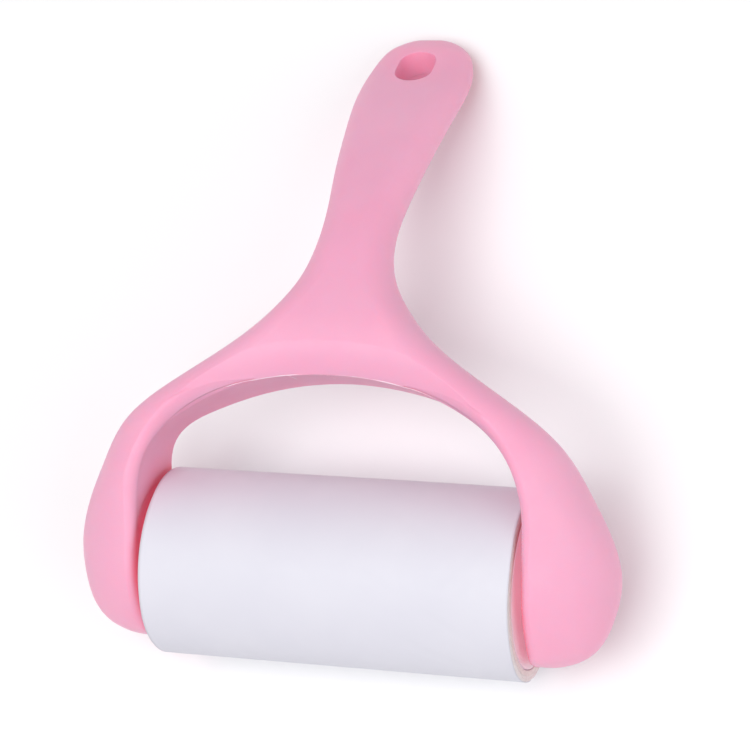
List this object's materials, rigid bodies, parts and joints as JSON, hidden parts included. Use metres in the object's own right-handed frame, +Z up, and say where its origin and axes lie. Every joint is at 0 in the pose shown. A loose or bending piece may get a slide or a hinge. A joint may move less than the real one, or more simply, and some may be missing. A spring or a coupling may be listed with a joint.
{
  "type": "lint roller",
  "caption": "Hand-held lint roller: a yoke-shaped plastic handle with a hang hole carries a wide refill of sticky paper that spins between two rounded pods.",
  "frame": {"origin": "on the table, under the middle of the bounding box", "axes": "X along the roll, +Y from the roll to the handle's tip, +Z up from the table"},
  "size_m": [0.1472, 0.1789, 0.0631],
  "materials": {
    "pink_plastic": "satin moulded",
    "white_plastic": "satin moulded",
    "steel": "zinc plated",
    "cardboard": "matt wound board",
    "paper": "matt coated paper"
  },
  "bodies": {
    "frame": {"front_shell": "pink_plastic", "rear_shell": "pink_plastic", "left_pod_plate": "pink_plastic", "right_pod_plate": "pink_plastic", "left_spindle": "white_plastic", "right_spindle": "white_plastic", "left_washer": "white_plastic", "right_washer": "white_plastic", "plate_screws": "steel", "retaining_screws": "steel"},
    "roll": {"core_tube": "cardboard", "paper_winding": "paper", "outer_sheet": "paper", "left_end_plug": "white_plastic", "right_end_plug": "white_plastic"}
  },
  "joints": [
    {"name": "roll_spin", "type": "hinge", "parent": "frame", "child": "roll", "pos_m": [0, -0.06445, 0.025], "axis": [1, 0, 0], "continuous": true}
  ]
}
